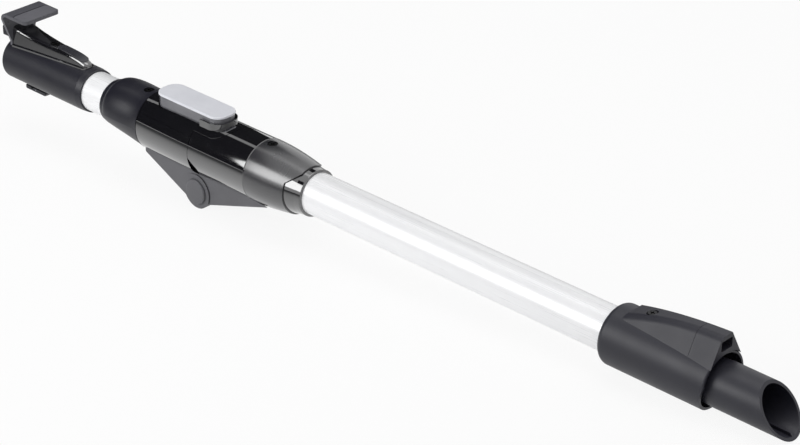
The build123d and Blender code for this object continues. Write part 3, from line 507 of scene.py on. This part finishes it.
# pale floor: it takes the shadow, the camera sees the white studio through it, so that the folded half
# below it still shows, and gloss mirrors a pool of light round the wand
def makeFloor(look):
    rise = look["sleeveFoot"][1] - look["kneeFoot"][1]
    run = look["sleeveFoot"][0] - look["kneeFoot"][0]
    foot = (look["kneeFoot"][0], 0, look["kneeFoot"][1])
    bpy.ops.mesh.primitive_plane_add(size=look["size"], location=foot, rotation=(0, -atan2(rise, run), 0))
    floor = bpy.context.object
    floor.name = "paleFloor"
    bpy.ops.object.transform_apply(location=True, rotation=True, scale=True)
    material = bpy.data.materials.new("paleFloor")
    material.use_nodes = True
    tree = material.node_tree
    tree.nodes.clear()
    output = addNode(tree, "ShaderNodeOutputMaterial", (600, 0))
    matte = addNode(tree, "ShaderNodeBsdfDiffuse", (-100, 150))
    matte.inputs["Color"].default_value = (look["tone"], look["tone"], look["tone"], 1)
    glow = addNode(tree, "ShaderNodeEmission", (-100, -100))
    paths = addNode(tree, "ShaderNodeLightPath", (-700, 200))
    place = addNode(tree, "ShaderNodeTexCoord", (-1100, -150))
    near = addNode(tree, "ShaderNodeMapping", (-900, -150))
    near.inputs["Location"].default_value = look["pool"]
    near.inputs["Scale"].default_value = look["poolScale"]
    tree.links.new(place.outputs["Object"], near.inputs["Vector"])
    length = addNode(tree, "ShaderNodeVectorMath", (-700, -150), operation="LENGTH")
    tree.links.new(near.outputs["Vector"], length.inputs[0])
    pool = addNode(tree, "ShaderNodeMapRange", (-500, -150), interpolation_type="SMOOTHSTEP")
    pool.inputs["From Min"].default_value, pool.inputs["From Max"].default_value = look["poolFade"]
    pool.inputs["To Min"].default_value, pool.inputs["To Max"].default_value = 1.0, look["farTone"]
    tree.links.new(length.outputs["Value"], pool.inputs["Value"])
    tree.links.new(pool.outputs["Result"], glow.inputs["Strength"])
    clear = addNode(tree, "ShaderNodeBsdfTransparent", (-100, -250))
    seen = addNode(tree, "ShaderNodeMixShader", (100, -150))
    tree.links.new(paths.outputs["Is Camera Ray"], seen.inputs["Fac"])
    tree.links.new(glow.outputs["Emission"], seen.inputs[1])
    tree.links.new(clear.outputs["BSDF"], seen.inputs[2])
    share = addNode(tree, "ShaderNodeMath", (-150, 250), operation="MULTIPLY")
    share.inputs[1].default_value = look["cameraWhite"]
    tree.links.new(seenDirectly(tree, paths), share.inputs[0])
    mix = addNode(tree, "ShaderNodeMixShader", (300, 0))
    tree.links.new(share.outputs[0], mix.inputs["Fac"])
    tree.links.new(matte.outputs["BSDF"], mix.inputs[1])
    tree.links.new(seen.outputs["Shader"], mix.inputs[2])
    tree.links.new(mix.outputs["Shader"], output.inputs["Surface"])
    floor.data.materials.append(material)


# white where it is seen, dimmer as light on the object
worldLook = {"strength": 0.5}


def makeWorld(look):
    world = bpy.data.worlds.new("whiteStudio")
    scene.world = world
    world.use_nodes = True
    tree = world.node_tree
    tree.nodes.clear()
    output = addNode(tree, "ShaderNodeOutputWorld", (400, 0))
    dim = addNode(tree, "ShaderNodeBackground", (0, 150))
    dim.inputs["Strength"].default_value = look["strength"]
    white = addNode(tree, "ShaderNodeBackground", (0, -50))
    white.inputs["Color"].default_value = (1, 1, 1, 1)
    paths = addNode(tree, "ShaderNodeLightPath", (-300, 300))
    mix = addNode(tree, "ShaderNodeMixShader", (200, 0))
    tree.links.new(seenDirectly(tree, paths), mix.inputs["Fac"])
    tree.links.new(dim.outputs["Background"], mix.inputs[1])
    tree.links.new(white.outputs["Background"], mix.inputs[2])
    tree.links.new(mix.outputs["Shader"], output.inputs["Surface"])


# dark card beyond the upper end, met by glossy rays alone, which the gloss pieces mirror
cardLook = {"place": (-2.2, -0.35, 1.75), "turn": (0, 90, 0), "size": (3.6, 6.3), "tone": 0.012}


def makeCard(look):
    bpy.ops.mesh.primitive_plane_add(size=1, location=look["place"],
                                     rotation=[radians(angle) for angle in look["turn"]])
    card = bpy.context.object
    card.name = "darkCard"
    card.scale = (*look["size"], 1)
    bpy.ops.object.transform_apply(location=True, rotation=True, scale=True)
    material = bpy.data.materials.new("darkCard")
    material.use_nodes = True
    shader = material.node_tree.nodes["Principled BSDF"]
    shader.inputs["Base Color"].default_value = (look["tone"], look["tone"], look["tone"], 1)
    shader.inputs["Roughness"].default_value = 1.0
    card.data.materials.append(material)
    card.visible_camera = False
    card.visible_diffuse = False
    card.visible_transmission = False
    card.visible_shadow = False


lampLook = {
    "side": {"place": (-0.31, -1.15, 0.58), "turn": (68, 0, 0), "size": (1.06, 0.7), "power": 11},
    "strip": {"place": (-0.75, 0.1, 1.45), "turn": (0, 0, 0), "size": (2.2, 0.25), "power": 1.4},
    "overhead": {"place": (0.6, 0.3, 1.9), "turn": (0, 0, 0), "size": (1.6, 1.2), "power": 12},
}


def makeLamp(name, look):
    lamp = bpy.data.lights.new(name, "AREA")
    lamp.shape = "RECTANGLE"
    lamp.size, lamp.size_y = look["size"]
    lamp.energy = look["power"]
    holder = bpy.data.objects.new(name, lamp)
    holder.location = look["place"]
    holder.rotation_euler = [radians(angle) for angle in look["turn"]]
    scene.collection.objects.link(holder)


# view fitted to the tube's outlines
cameraLook = {"place": (1.4897, -1.1031, 0.8400), "turn": (61.5, 0, 44.0), "lens": 112.5,
              "sensor": 36.0, "reach": 50.0}


def makeCamera(look):
    eye = bpy.data.cameras.new("photoView")
    eye.lens = look["lens"]
    eye.sensor_width = look["sensor"]
    eye.clip_end = look["reach"]
    holder = bpy.data.objects.new("photoView", eye)
    holder.location = look["place"]
    holder.rotation_euler = [radians(angle) for angle in look["turn"]]
    scene.collection.objects.link(holder)
    scene.camera = holder


makeFloor(stageLook)
makeCard(cardLook)
makeWorld(worldLook)
for lampName, look in lampLook.items():
    makeLamp(lampName, look)
makeCamera(cameraLook)
print("studio ready")
